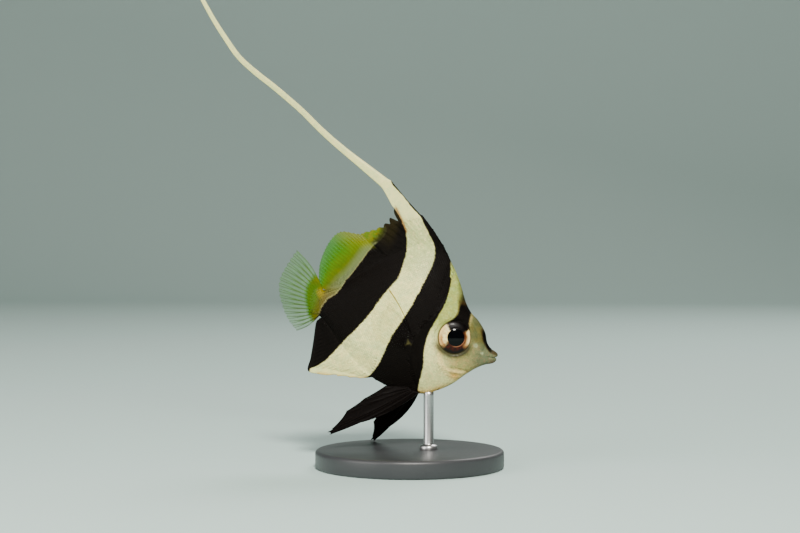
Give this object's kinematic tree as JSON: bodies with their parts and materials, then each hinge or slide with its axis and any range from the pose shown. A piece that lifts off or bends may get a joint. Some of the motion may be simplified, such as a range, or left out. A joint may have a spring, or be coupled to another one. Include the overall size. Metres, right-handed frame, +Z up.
{
  "type": "bannerfish",
  "caption": "Life-size young bannerfish with a deep thin body, dark bands, yellow rear fins and a long white dorsal banner, nosing down on a rod and a round base.",
  "frame": {"origin": "centre of the stand's flat underside", "axes": "+X towards the side the fish faces, +Y to the fish's left, +Z up"},
  "size_m": [0.0907, 0.052, 0.1559],
  "materials": {
    "skin": "wet, finely scaled skin, off-white with brown-black bands",
    "fin_yellow": "rayed membrane, olive to lemon yellow",
    "fin_dark": "rayed membrane, brown-black",
    "fin_clear": "clear yellowish membrane on fine rays",
    "eye": "polished clear dome over a silver and brown iris",
    "stand_paint": "satin charcoal paint",
    "stand_steel": "fine brushed"
  },
  "bodies": {
    "root": {"head": "skin", "trunk": "skin", "tail_stalk": "skin", "dorsal_fin_spines": "skin", "anal_fin": "skin", "banner_lower": "skin", "banner_middle": "skin", "banner_tip": "skin", "dorsal_fin_soft": "fin_yellow", "tail_fin": "fin_yellow", "pelvic_fin_left": "fin_dark", "pelvic_fin_right": "fin_dark", "pectoral_fin_left": "fin_clear", "pectoral_fin_right": "fin_clear", "eye_left": "eye", "eye_right": "eye", "stand_base": "stand_paint", "stand_rod": "stand_steel"}
  },
  "joints": []
}
